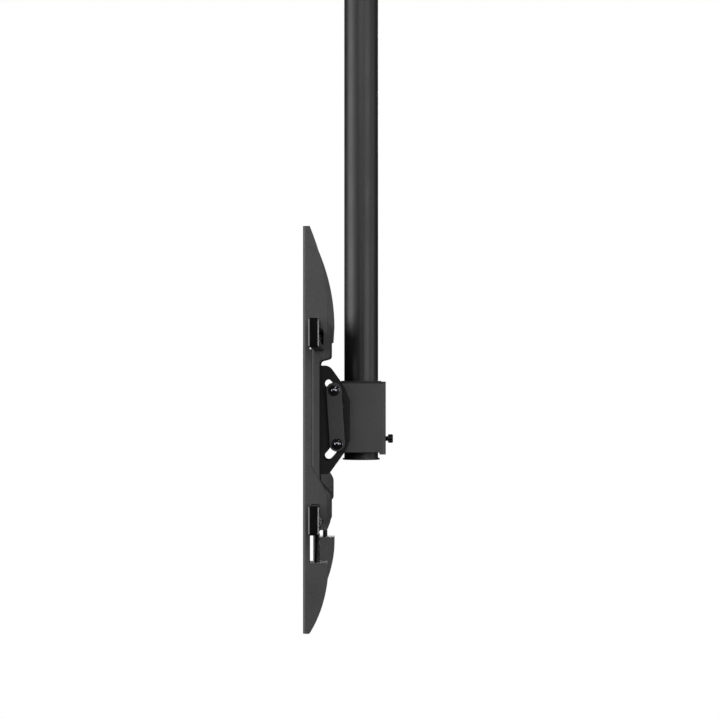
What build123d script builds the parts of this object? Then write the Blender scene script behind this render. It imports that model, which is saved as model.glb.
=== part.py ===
# Ceiling mount for a television: a pole hangs from a ceiling plate, a box swivels on the pole,
# and a tilting frame on the box carries two rails with a hooked upright on each side of it.
# Lengths are in mm. The origin is the middle of the ceiling plate's top face and +Z is up.
# The screen hangs on the -Y side and the rails run along X. A side outline is drawn on the
# YZ plane, where the sketch's own X is the model's Y and the sketch's own Y is the model's Z.
import os
from math import cos, radians, sin

from build123d import *

os.makedirs("parts", exist_ok=True)

# Clearances
fixed_gap = 0.05  # radial gap of a shaft in a hole that doesn't turn
running_gap = 0.10  # radial gap of the pole in its bushings
slide_gap = 0.4  # gap round a rail in the windows of the centre frame
flat_gap = 0.2  # gap between flat faces that slide on each other
hole_clear = 0.3  # radial gap of a screw in its clearance hole

# Ceiling plate and pole
plate_x = 140.0
plate_y = 100.0
plate_t = 5.0
plate_corner_r = 10.0
plate_hole_x = 104.0
plate_hole_y = 68.0
plate_hole_d = 8.6
plate_slot_len = 17.0
collar_d = 46.0
collar_h = 42.0
collar_weld = 2.5
pole_d = 38.0
pole_wall = 2.0
pole_bottom = -572.0
cap_rim_d = 41.6
cap_rim_t = 1.8
cap_plug_h = 12.0
cap_plug_wall = 2.2

# Metric fasteners
m8_d = 8.0
m8_across = 13.0
m8_head_h = 5.3
m8_nut_h = 6.8
m8_button_d = 13.6
m8_button_h = 4.4
m8_socket = 5.0
m6_d = 6.0
m6_across = 10.0
m6_nut_h = 4.8
m6_button_d = 10.5
m6_button_h = 3.0
m6_socket = 4.0
end_bevel = 0.6
screw_tip_gap = 0.5
pole_bolt_z = -27.0

# Swivel box
box_half_x = 32.0
box_rear = 27.3
box_sheet = 2.5
box_bend_r = 4.0
box_top = -488.7
box_bottom = -564.8
box_front = -26.0
box_foot_drop = 2.5
box_foot_y = 20.2
box_foot_x = 9.0
lid_t = 2.0
lid_bevel = 0.4
lid_front = -23.6
floor_t = 2.1
bushing_d = 42.6
bushing_rim_d = 45.0
bushing_rim_t = 1.0
ring_d = 46.0
ring_h = 10.0
ring_pin_d = 4.0
lock_z = -550.2
lock_neck_y = 30.0
lock_head_d = 9.8
lock_head_h = 5.5
lock_socket = 5.0
lock_nut_h = 4.6

# Tilt geometry: the pins run in slots that are arcs about a line near the screen
tilt_y = -77.1
tilt_z = -529.0
tilt_r = 57.2
tilt_half_angle = 31.1
pin_lean = 3.6
tilt_back = 10.0
tilt_forward = 15.0
tilt_stop_angle = 0.5
fork_r = 7.5
bar_w = 17.0
bar_t = 3.5
washer_t = 1.0
washer_d = 14.6

# Tilt bracket
bracket_sheet = 3.0
bracket_bend_r = 4.5
bracket_front = -51.8
bracket_top = -469.1
ear_top_y = -35.4
ear_step_y = -17.7
ear_step_z = -493.8
ear_rear_y = -12.2
ear_rear_z = -507.0
ear_corner_r = 8.0
frame_screw_x = 14.0
frame_screw_dz = 42.0

# Centre frame
frame_half_x = 50.0
frame_sheet = 3.0
frame_bend_r = 4.0
frame_top = -421.2
frame_bottom = -649.6
frame_mid_rear = -45.6
frame_lobe_rear = -33.5
frame_upper_lobe_low = -460.6
frame_upper_waist = -463.8
frame_lower_waist = -598.8
frame_lower_lobe_high = -611.0
frame_taper_z = -640.3
frame_taper_y = -36.9
frame_corner_r = 4.0

# Rails
rail_half_len = 250.0
rail_h = 29.0
rail_d = 10.0
rail_sheet = 1.5
rail_lip = 6.5
rail_upper_z = -438.7
rail_lower_z = -627.8
rail_screw_x = 32.0
rail_cap_t = 3.0
rail_cap_over = 0.3
rail_cap_bevel = 1.2
rail_cap_plug = 12.0

# Hooked uprights
arm_x = 200.0
arm_w = 30.0
arm_sheet = 2.0
arm_bend_r = 3.5
arm_front = -58.6
arm_top = -329.0
arm_bottom = -745.0
arm_end_y = -51.6
arm_bow_r = 235.0
arm_bow_y = -33.3
arm_bow_z = -420.0
arm_waist_y = -50.2
arm_front_clear = 0.6
arm_hang_clear = 0.5
arm_lower_clear = 0.8
arm_nose_z = -439.0
arm_nose_w = 2.5
arm_nose_lean = 1.2
arm_nose_bevel = 0.5
arm_notch_over = 1.0
arm_curve_z = -574.6
arm_curve_r = 14.0
arm_lobe_z = -603.1
arm_lobe_y = -34.3
arm_hook_z = -625.8
arm_hook_drop = 3.6
arm_hook_lean = 3.3
arm_heel_y = -33.2
arm_heel_z = -680.0
arm_tail_r = 123.0
arm_tail_y = -50.7
arm_tail_z = -743.0
arm_tail_bevel = 1.5
tab_top = -672.7
tab_t = 3.0
tab_rear = -33.7
tv_hole_pitch = 400.0
tv_hole_d = 8.5
tv_slot_len = 24.0
tv_slot_pitch = 50.0
tv_slot_count = 7
safety_y = -44.4
safety_head_d = 10.0
safety_head_h = 6.0
safety_head_drop = 3.0
safety_socket = 5.0

# Positions that follow from the sizes above
lid_top = box_top + lid_t
ring_top = box_top - bushing_rim_t
ring_z = ring_top - ring_h / 2
upper_pin_angle = radians(pin_lean + tilt_half_angle)
lower_pin_angle = radians(pin_lean - tilt_half_angle)
upper_pin = (tilt_y + tilt_r * cos(upper_pin_angle), tilt_z + tilt_r * sin(upper_pin_angle))
lower_pin = (tilt_y + tilt_r * cos(lower_pin_angle), tilt_z + tilt_r * sin(lower_pin_angle))
pin_places = (upper_pin, lower_pin)
bar_angle = 90.0 + pin_lean
bar_mid = ((upper_pin[0] + lower_pin[0]) / 2, (upper_pin[1] + lower_pin[1]) / 2)
pin_pitch = 2 * tilt_r * sin(radians(tilt_half_angle))
ear_inner = box_half_x + washer_t + flat_gap
ear_outer = ear_inner + bracket_sheet
bar_inner = ear_outer + flat_gap
bar_outer = bar_inner + bar_t
bracket_bottom = 2 * tilt_z - bracket_top
frame_front = bracket_front - frame_sheet
rail_front = bracket_front
rail_mid_y = rail_front + rail_d / 2
arm_mid_z = (arm_top + arm_bottom) / 2
safety_tip_z = rail_lower_z - rail_h / 2 - screw_tip_gap

# Ceiling plate with a welded collar for the pole
with BuildPart() as ceiling_plate:
    with BuildSketch(Plane.XY.offset(-plate_t)):
        RectangleRounded(plate_x, plate_y, plate_corner_r)
        with GridLocations(plate_hole_x, plate_hole_y, 2, 2):
            SlotOverall(plate_slot_len, plate_hole_d, mode=Mode.SUBTRACT)
    extrude(amount=plate_t)
    chamfer(ceiling_plate.faces().sort_by(Axis.Z)[0].outer_wire().edges(), end_bevel)
    with BuildSketch(Plane.XY.offset(-plate_t)):
        Circle(collar_d / 2)
    extrude(amount=-collar_h)
    collar_root = ceiling_plate.edges().filter_by(GeomType.CIRCLE)
    collar_root = collar_root.filter_by_position(Axis.Z, -plate_t - 0.01, -plate_t + 0.01)
    chamfer(collar_root.sort_by(SortBy.RADIUS)[-1], collar_weld)
    with BuildSketch(Plane.XY.offset(-plate_t)):
        Circle(pole_d / 2 + fixed_gap)
    extrude(amount=-collar_h, mode=Mode.SUBTRACT)
    with BuildSketch(Plane.YZ):
        with Locations((0, pole_bolt_z)):
            Circle(m8_d / 2 + hole_clear)
    extrude(amount=collar_d, both=True, mode=Mode.SUBTRACT)
ceiling_plate.part.label = "ceiling_plate"

# Steel pole, cross drilled for the plate bolt and for the pin of the carrier ring
with BuildPart() as pole:
    with BuildSketch(Plane.XY.offset(pole_bottom)):
        Circle(pole_d / 2)
        Circle(pole_d / 2 - pole_wall, mode=Mode.SUBTRACT)
    extrude(amount=-plate_t - pole_bottom)
    with BuildSketch(Plane.YZ):
        with Locations((0, pole_bolt_z)):
            Circle(m8_d / 2 + hole_clear)
        with Locations((0, ring_z)):
            Circle(ring_pin_d / 2 + fixed_gap)
    extrude(amount=pole_d, both=True, mode=Mode.SUBTRACT)
pole.part.label = "pole"

# Cross bolt that holds the pole in the collar
with BuildPart() as pole_bolt:
    with BuildSketch(Plane.YZ.offset(collar_d / 2)):
        with Locations((0, pole_bolt_z)):
            RegularPolygon(m8_across / 2, 6, major_radius=False)
    extrude(amount=m8_head_h)
    chamfer(pole_bolt.faces().sort_by(Axis.X)[-1].edges(), end_bevel)
    with BuildSketch(Plane.YZ.offset(collar_d / 2)):
        with Locations((0, pole_bolt_z)):
            Circle(m8_d / 2)
    extrude(amount=-collar_d - m8_nut_h - 3 * end_bevel)
    chamfer(pole_bolt.faces().sort_by(Axis.X)[0].edges(), end_bevel)
pole_bolt.part.label = "pole_bolt"

# Nut of the cross bolt
with BuildPart() as pole_nut:
    with BuildSketch(Plane.YZ.offset(-collar_d / 2)):
        with Locations((0, pole_bolt_z)):
            RegularPolygon(m8_across / 2, 6, major_radius=False)
            Circle(m8_d / 2 + fixed_gap, mode=Mode.SUBTRACT)
    extrude(amount=-m8_nut_h)
    chamfer(pole_nut.faces().sort_by(Axis.X)[0].outer_wire().edges(), end_bevel)
pole_nut.part.label = "pole_nut"

# Carrier ring pinned to the pole: the box hangs on it and turns round on it
with BuildPart() as carrier_ring:
    with BuildSketch(Plane.XY.offset(ring_top)):
        Circle(ring_d / 2)
        Circle(pole_d / 2 + fixed_gap, mode=Mode.SUBTRACT)
    extrude(amount=-ring_h)
    chamfer(carrier_ring.edges().filter_by(GeomType.CIRCLE).sort_by(SortBy.RADIUS)[-2:], end_bevel)
    with BuildSketch(Plane.YZ):
        with Locations((0, ring_z)):
            Circle(ring_pin_d / 2 + fixed_gap)
    extrude(amount=ring_d, both=True, mode=Mode.SUBTRACT)
carrier_ring.part.label = "carrier_ring"

# Cross pin through the carrier ring and the pole
with BuildPart() as ring_pin:
    with BuildSketch(Plane.YZ):
        with Locations((0, ring_z)):
            Circle(ring_pin_d / 2)
    extrude(amount=ring_d / 2 - end_bevel, both=True)
    chamfer(ring_pin.edges().filter_by(GeomType.CIRCLE), end_bevel / 2)
ring_pin.part.label = "ring_pin"

# Plastic cap that plugs the lower end of the pole
with BuildPart() as end_cap:
    with BuildSketch(Plane.XY.offset(pole_bottom)):
        Circle(cap_rim_d / 2)
    extrude(amount=-cap_rim_t)
    chamfer(end_cap.faces().sort_by(Axis.Z)[0].edges(), end_bevel)
    with BuildSketch(Plane.XY.offset(pole_bottom)):
        Circle(pole_d / 2 - pole_wall - fixed_gap)
        Circle(pole_d / 2 - pole_wall - cap_plug_wall, mode=Mode.SUBTRACT)
    extrude(amount=cap_plug_h)
end_cap.part.label = "end_cap"

# Swivel box: one folded sheet round the back of the pole, its sides run out into four forks
# that hold the tilt pins
with BuildPart() as swivel_box:
    channel_depth = 2 * (box_rear - tilt_y)
    with BuildSketch(Plane.XY.offset(box_bottom - box_foot_drop)):
        with Locations((0, tilt_y)):
            RectangleRounded(2 * box_half_x, channel_depth, box_bend_r)
            RectangleRounded(
                2 * (box_half_x - box_sheet),
                channel_depth - 2 * box_sheet,
                box_bend_r - box_sheet,
                mode=Mode.SUBTRACT,
            )
    extrude(amount=box_top - box_bottom + box_foot_drop)
    with BuildSketch(Plane.YZ) as side_outline:
        with BuildLine():
            Polyline(
                (box_rear, box_bottom),
                (box_rear, box_top),
                (upper_pin[0], box_top),
                (upper_pin[0], upper_pin[1] - fork_r),
                (box_front, upper_pin[1] - 2 * fork_r),
                (box_front, lower_pin[1] + 2 * fork_r),
                (lower_pin[0], lower_pin[1] + fork_r),
                (lower_pin[0], box_bottom),
                close=True,
            )
        make_face()
        with Locations(*pin_places):
            Circle(fork_r)
        with Locations((box_rear, box_bottom - box_foot_drop)):
            Rectangle(box_rear - box_foot_y, box_foot_drop, align=(Align.MAX, Align.MIN))
        with Locations(*pin_places):
            Circle(m8_d / 2 + fixed_gap, mode=Mode.SUBTRACT)
    extrude(amount=box_half_x, both=True, mode=Mode.INTERSECT)
    with Locations((0, box_rear, box_bottom)):
        Box(
            2 * (box_half_x - box_foot_x),
            2 * box_rear,
            2 * box_foot_drop,
            align=(Align.CENTER, Align.CENTER, Align.MAX),
            mode=Mode.SUBTRACT,
        )
    with BuildSketch(Plane.XZ.offset(-box_rear)):
        with Locations((0, lock_z)):
            Circle(m6_d / 2 + hole_clear)
    extrude(amount=2 * box_sheet, mode=Mode.SUBTRACT)
swivel_box.part.label = "swivel_box"

# Lid welded on the top edges of the swivel box
with BuildPart() as box_lid:
    with BuildSketch(Plane.XY.offset(box_top)) as lid_plan:
        with Locations((0, (box_rear + lid_front) / 2)):
            Rectangle(2 * box_half_x, box_rear - lid_front)
        fillet(lid_plan.vertices(), box_bend_r)
        Circle(bushing_d / 2 + fixed_gap, mode=Mode.SUBTRACT)
    extrude(amount=lid_t)
    lid_faces = box_lid.faces().filter_by(Axis.Z).sort_by(Axis.Z)
    lid_edges = lid_faces[-1].outer_wire().edges() + lid_faces[0].outer_wire().edges()
    chamfer(lid_edges, lid_bevel)
box_lid.part.label = "box_lid"

# Floor welded between the walls of the swivel box
with BuildPart() as box_floor:
    with BuildSketch(Plane.XY.offset(box_bottom)) as floor_plan:
        with Locations((0, (box_rear - box_sheet + lid_front) / 2)):
            Rectangle(2 * (box_half_x - box_sheet), box_rear - box_sheet - lid_front)
        fillet(floor_plan.vertices(), box_bend_r - box_sheet)
        Circle(bushing_d / 2 + fixed_gap, mode=Mode.SUBTRACT)
    extrude(amount=floor_t)
box_floor.part.label = "box_floor"

# Nylon bushing in the lid, its rim on top
with BuildPart() as upper_bushing:
    with BuildSketch(Plane.XY.offset(box_top - bushing_rim_t + flat_gap)):
        Circle(bushing_d / 2)
    extrude(amount=lid_t + bushing_rim_t - flat_gap)
    with BuildSketch(Plane.XY.offset(lid_top)):
        Circle(bushing_rim_d / 2)
    extrude(amount=bushing_rim_t)
    chamfer(upper_bushing.faces().sort_by(Axis.Z)[-1].edges(), bushing_rim_t / 3)
    with BuildSketch(Plane.XY.offset(box_top - bushing_rim_t)):
        Circle(pole_d / 2 + running_gap)
    extrude(amount=lid_t + 3 * bushing_rim_t, mode=Mode.SUBTRACT)
upper_bushing.part.label = "upper_bushing"

# Nylon bushing in the floor, its rim underneath
with BuildPart() as lower_bushing:
    with BuildSketch(Plane.XY.offset(box_bottom)):
        Circle(bushing_d / 2)
    extrude(amount=floor_t + bushing_rim_t)
    with BuildSketch(Plane.XY.offset(box_bottom)):
        Circle(bushing_rim_d / 2)
    extrude(amount=-bushing_rim_t)
    chamfer(lower_bushing.faces().sort_by(Axis.Z)[0].edges(), bushing_rim_t / 3)
    with BuildSketch(Plane.XY.offset(box_bottom - bushing_rim_t)):
        Circle(pole_d / 2 + running_gap)
    extrude(amount=floor_t + 3 * bushing_rim_t, mode=Mode.SUBTRACT)
lower_bushing.part.label = "lower_bushing"

# Weld nut inside the rear wall for the lock screw
with BuildPart() as lock_nut:
    with BuildSketch(Plane.XZ.offset(-(box_rear - box_sheet))):
        with Locations((0, lock_z)):
            RegularPolygon(m6_across / 2, 6, major_radius=False)
            Circle(m6_d / 2 + fixed_gap, mode=Mode.SUBTRACT)
    extrude(amount=lock_nut_h)
lock_nut.part.label = "lock_nut"

# Lock screw that stops the box from turning on the pole
with BuildPart() as lock_screw:
    with BuildSketch(Plane.XZ.offset(-(pole_d / 2 + screw_tip_gap))):
        with Locations((0, lock_z)):
            Circle(m6_d / 2)
    extrude(amount=-(lock_neck_y - pole_d / 2 - screw_tip_gap))
    with BuildSketch(Plane.XZ.offset(-lock_neck_y)):
        with Locations((0, lock_z)):
            Circle(lock_head_d / 2)
    extrude(amount=-lock_head_h)
    chamfer(lock_screw.faces().sort_by(Axis.Y)[-1].edges(), end_bevel)
    chamfer(lock_screw.faces().sort_by(Axis.Y)[0].edges(), end_bevel)
    with BuildSketch(Plane.XZ.offset(-(lock_neck_y + lock_head_h))):
        with Locations((0, lock_z)):
            RegularPolygon(lock_socket / 2, 6, major_radius=False)
    extrude(amount=lock_head_h / 2, mode=Mode.SUBTRACT)
lock_screw.part.label = "lock_screw"

# Link bar outside each ear of the tilt bracket, it ties the two pins of that side together
with BuildPart() as link_bar_right:
    with BuildSketch(Plane.YZ.offset(bar_inner)):
        with Locations(bar_mid):
            SlotCenterToCenter(pin_pitch, bar_w, rotation=bar_angle)
        with Locations(*pin_places):
            Circle(m8_d / 2 + fixed_gap, mode=Mode.SUBTRACT)
    extrude(amount=bar_t)
    chamfer(link_bar_right.faces().sort_by(Axis.X)[-1].outer_wire().edges(), end_bevel)
link_bar_right.part.label = "link_bar_right"

with BuildPart() as link_bar_left:
    mirror(link_bar_right.part, about=Plane.YZ)
link_bar_left.part.label = "link_bar_left"

# Tilt bolts: button heads outside the link bars, shanks through the slots of the tilt bracket
with BuildPart() as tilt_bolts:
    with BuildSketch(Plane.YZ.offset(bar_outer)):
        with Locations(*pin_places):
            Circle(m8_button_d / 2)
    extrude(amount=m8_button_h)
    fillet(tilt_bolts.faces().group_by(Axis.X)[-1].edges(), m8_button_h - 2 * end_bevel)
    with BuildSketch(Plane.YZ.offset(bar_outer)):
        with Locations(*pin_places):
            Circle(m8_d / 2)
    extrude(amount=-(bar_outer - box_half_x + box_sheet + m8_nut_h + end_bevel))
    with BuildSketch(Plane.YZ.offset(bar_outer + m8_button_h)):
        with Locations(*pin_places):
            RegularPolygon(m8_socket / 2, 6, major_radius=False)
    extrude(amount=-m8_button_h / 2, mode=Mode.SUBTRACT)
    mirror(about=Plane.YZ)
tilt_bolts.part.label = "tilt_bolts"

# Lock nuts of the tilt bolts, inside the box
with BuildPart() as tilt_nuts:
    with BuildSketch(Plane.YZ.offset(box_half_x - box_sheet)):
        with Locations(*pin_places):
            RegularPolygon(m8_across / 2, 6, major_radius=False)
            Circle(m8_d / 2 + fixed_gap, mode=Mode.SUBTRACT)
    extrude(amount=-m8_nut_h)
    mirror(about=Plane.YZ)
tilt_nuts.part.label = "tilt_nuts"

# Nylon friction washers between the box and the ears of the tilt bracket
with BuildPart() as friction_washers:
    with BuildSketch(Plane.YZ.offset(box_half_x)):
        with Locations(*pin_places):
            Circle(washer_d / 2)
            Circle(m8_d / 2 + fixed_gap, mode=Mode.SUBTRACT)
    extrude(amount=washer_t)
    mirror(about=Plane.YZ)
friction_washers.part.label = "friction_washers"

# Arc slots of the tilt bracket, drawn about the tilt line and alike above and below it
slot_reach = (tilt_back + tilt_forward) / 2 + abs(pin_lean - (tilt_forward - tilt_back) / 2)
slot_start = tilt_half_angle - slot_reach - tilt_stop_angle
slot_sweep = 2 * (slot_reach + tilt_stop_angle)
upper_slot_arc = CenterArc((tilt_y, tilt_z), tilt_r, slot_start, slot_sweep)
lower_slot_arc = CenterArc((tilt_y, tilt_z), tilt_r, -slot_start, -slot_sweep)

# Tilt bracket: a folded channel whose ears carry the arc slots
with BuildPart() as tilt_bracket:
    channel_depth = 2 * (ear_rear_y - bracket_front)
    with BuildSketch(Plane.XY.offset(bracket_bottom)):
        with Locations((0, bracket_front + channel_depth / 2)):
            RectangleRounded(2 * ear_outer, channel_depth, bracket_bend_r)
            RectangleRounded(
                2 * ear_inner,
                channel_depth - 2 * bracket_sheet,
                bracket_bend_r - bracket_sheet,
                mode=Mode.SUBTRACT,
            )
    extrude(amount=bracket_top - bracket_bottom)
    with BuildSketch(Plane.YZ) as ear_outline:
        with BuildLine():
            Polyline(
                (bracket_front, bracket_top),
                (ear_top_y, bracket_top),
                (ear_step_y, ear_step_z),
                (ear_rear_y, ear_rear_z),
                (ear_rear_y, 2 * tilt_z - ear_rear_z),
                (ear_step_y, 2 * tilt_z - ear_step_z),
                (ear_top_y, bracket_bottom),
                (bracket_front, bracket_bottom),
                close=True,
            )
        make_face()
        ear_corners = ear_outline.vertices().filter_by_position(Axis.X, ear_top_y, ear_rear_y)
        fillet(ear_corners, ear_corner_r)
        SlotArc(upper_slot_arc, m8_d + 2 * hole_clear, mode=Mode.SUBTRACT)
        SlotArc(lower_slot_arc, m8_d + 2 * hole_clear, mode=Mode.SUBTRACT)
    extrude(amount=ear_outer, both=True, mode=Mode.INTERSECT)
    with BuildSketch(Plane.XZ.offset(-bracket_front)):
        with Locations((0, tilt_z)):
            with GridLocations(2 * frame_screw_x, 2 * frame_screw_dz, 2, 2):
                Circle(m6_d / 2 + hole_clear)
    extrude(amount=-2 * bracket_sheet, mode=Mode.SUBTRACT)
tilt_bracket.part.label = "tilt_bracket"

# Centre frame: a folded channel with windows in its flanges for the two rails
with BuildPart() as centre_frame:
    channel_depth = 2 * (frame_lobe_rear - frame_front)
    with BuildSketch(Plane.XY.offset(frame_bottom)):
        with Locations((0, frame_front + channel_depth / 2)):
            RectangleRounded(2 * frame_half_x, channel_depth, frame_bend_r)
            RectangleRounded(
                2 * (frame_half_x - frame_sheet),
                channel_depth - 2 * frame_sheet,
                frame_bend_r - frame_sheet,
                mode=Mode.SUBTRACT,
            )
    extrude(amount=frame_top - frame_bottom)
    with BuildSketch(Plane.YZ) as flange_outline:
        with BuildLine():
            Polyline(
                (frame_front, frame_top),
                (frame_lobe_rear, frame_top),
                (frame_lobe_rear, frame_upper_lobe_low),
                (frame_mid_rear, frame_upper_waist),
                (frame_mid_rear, frame_lower_waist),
                (frame_lobe_rear, frame_lower_lobe_high),
                (frame_lobe_rear, frame_taper_z),
                (frame_taper_y, frame_bottom),
                (frame_front, frame_bottom),
                close=True,
            )
        make_face()
        flange_corners = flange_outline.vertices().filter_by_position(
            Axis.X, frame_mid_rear, frame_lobe_rear
        )
        fillet(flange_corners, frame_corner_r)
        with Locations((rail_front, rail_upper_z), (rail_front, rail_lower_z)):
            Rectangle(
                rail_d + 2 * slide_gap,
                rail_h + 2 * slide_gap,
                align=(Align.MIN, Align.CENTER),
                mode=Mode.SUBTRACT,
            )
    extrude(amount=frame_half_x, both=True, mode=Mode.INTERSECT)
    with BuildSketch(Plane.XZ.offset(-frame_front)):
        with Locations((0, tilt_z)):
            with GridLocations(2 * frame_screw_x, 2 * frame_screw_dz, 2, 2):
                Circle(m6_d / 2 + hole_clear)
        with Locations((0, (rail_upper_z + rail_lower_z) / 2)):
            with GridLocations(2 * rail_screw_x, rail_upper_z - rail_lower_z, 2, 2):
                Circle(m6_d / 2 + hole_clear)
    extrude(amount=-2 * frame_sheet, mode=Mode.SUBTRACT)
centre_frame.part.label = "centre_frame"

# Button screws that join the centre frame to the tilt bracket
with BuildPart() as frame_screws:
    with BuildSketch(Plane.XZ.offset(-frame_front)):
        with Locations((0, tilt_z)):
            with GridLocations(2 * frame_screw_x, 2 * frame_screw_dz, 2, 2):
                Circle(m6_button_d / 2)
    extrude(amount=m6_button_h)
    fillet(frame_screws.faces().group_by(Axis.Y)[0].edges(), m6_button_h - end_bevel)
    with BuildSketch(Plane.XZ.offset(-frame_front)):
        with Locations((0, tilt_z)):
            with GridLocations(2 * frame_screw_x, 2 * frame_screw_dz, 2, 2):
                Circle(m6_d / 2)
    extrude(amount=-(frame_sheet + bracket_sheet + m6_nut_h + end_bevel))
    with BuildSketch(Plane.XZ.offset(-frame_front + m6_button_h)):
        with Locations((0, tilt_z)):
            with GridLocations(2 * frame_screw_x, 2 * frame_screw_dz, 2, 2):
                RegularPolygon(m6_socket / 2, 6, major_radius=False)
    extrude(amount=-m6_button_h / 2, mode=Mode.SUBTRACT)
frame_screws.part.label = "frame_screws"

# Nuts behind the web of the tilt bracket
with BuildPart() as frame_nuts:
    with BuildSketch(Plane.XZ.offset(-(bracket_front + bracket_sheet))):
        with Locations((0, tilt_z)):
            with GridLocations(2 * frame_screw_x, 2 * frame_screw_dz, 2, 2):
                RegularPolygon(m6_across / 2, 6, major_radius=False)
                Circle(m6_d / 2 + fixed_gap, mode=Mode.SUBTRACT)
    extrude(amount=-m6_nut_h)
frame_nuts.part.label = "frame_nuts"

# Upper rail: a lipped channel, its open side to the back
with BuildPart() as upper_rail:
    with BuildSketch(Plane.YZ.offset(-rail_half_len + rail_cap_t)):
        with Locations((rail_mid_y, rail_upper_z)):
            RectangleRounded(rail_d, rail_h, rail_sheet)
            Rectangle(rail_d - 2 * rail_sheet, rail_h - 2 * rail_sheet, mode=Mode.SUBTRACT)
        with Locations((rail_mid_y + rail_d / 2, rail_upper_z)):
            Rectangle(2 * rail_sheet, rail_h - 2 * rail_lip, mode=Mode.SUBTRACT)
    extrude(amount=2 * (rail_half_len - rail_cap_t))
    with BuildSketch(Plane.XZ.offset(-rail_front)):
        with Locations((rail_screw_x, rail_upper_z), (-rail_screw_x, rail_upper_z)):
            Circle(m6_d / 2 + hole_clear)
    extrude(amount=-2 * rail_sheet, mode=Mode.SUBTRACT)
upper_rail.part.label = "upper_rail"

# Lower rail: the same section lower down
with BuildPart() as lower_rail:
    with Locations((0, 0, rail_lower_z - rail_upper_z)):
        add(upper_rail.part)
lower_rail.part.label = "lower_rail"

# Plastic caps with plugs in the ends of both rails
with BuildPart() as rail_end_caps:
    with BuildSketch(Plane.YZ.offset(rail_half_len - rail_cap_t)):
        with Locations((rail_mid_y, rail_upper_z), (rail_mid_y, rail_lower_z)):
            RectangleRounded(rail_d + 2 * rail_cap_over, rail_h + 2 * rail_cap_over, rail_sheet)
    extrude(amount=rail_cap_t)
    chamfer(rail_end_caps.faces().group_by(Axis.X)[-1].edges().filter_by(Axis.Z), rail_cap_bevel)
    with BuildSketch(Plane.YZ.offset(rail_half_len - rail_cap_t)):
        with Locations((rail_mid_y, rail_upper_z), (rail_mid_y, rail_lower_z)):
            Rectangle(
                rail_d - 2 * rail_sheet - 2 * fixed_gap,
                rail_h - 2 * rail_sheet - 2 * fixed_gap,
            )
            Rectangle(rail_d - 4 * rail_sheet, rail_h - 4 * rail_sheet, mode=Mode.SUBTRACT)
    extrude(amount=-rail_cap_plug)
    mirror(about=Plane.YZ)
rail_end_caps.part.label = "rail_end_caps"

# Button screws that hold the rails to the centre frame
with BuildPart() as rail_screws:
    with BuildSketch(Plane.XZ.offset(-frame_front)):
        with Locations((0, (rail_upper_z + rail_lower_z) / 2)):
            with GridLocations(2 * rail_screw_x, rail_upper_z - rail_lower_z, 2, 2):
                Circle(m6_button_d / 2)
    extrude(amount=m6_button_h)
    fillet(rail_screws.faces().group_by(Axis.Y)[0].edges(), m6_button_h - end_bevel)
    with BuildSketch(Plane.XZ.offset(-frame_front)):
        with Locations((0, (rail_upper_z + rail_lower_z) / 2)):
            with GridLocations(2 * rail_screw_x, rail_upper_z - rail_lower_z, 2, 2):
                Circle(m6_d / 2)
    extrude(amount=-(frame_sheet + rail_sheet + m6_nut_h + end_bevel))
    with BuildSketch(Plane.XZ.offset(-frame_front + m6_button_h)):
        with Locations((0, (rail_upper_z + rail_lower_z) / 2)):
            with GridLocations(2 * rail_screw_x, rail_upper_z - rail_lower_z, 2, 2):
                RegularPolygon(m6_socket / 2, 6, major_radius=False)
    extrude(amount=-m6_button_h / 2, mode=Mode.SUBTRACT)
rail_screws.part.label = "rail_screws"

# Nuts inside the rails
with BuildPart() as rail_nuts:
    with BuildSketch(Plane.XZ.offset(-(rail_front + rail_sheet))):
        with Locations((0, (rail_upper_z + rail_lower_z) / 2)):
            with GridLocations(2 * rail_screw_x, rail_upper_z - rail_lower_z, 2, 2):
                RegularPolygon(m6_across / 2, 6, major_radius=False)
                Circle(m6_d / 2 + fixed_gap, mode=Mode.SUBTRACT)
    extrude(amount=-m6_nut_h)
rail_nuts.part.label = "rail_nuts"

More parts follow.
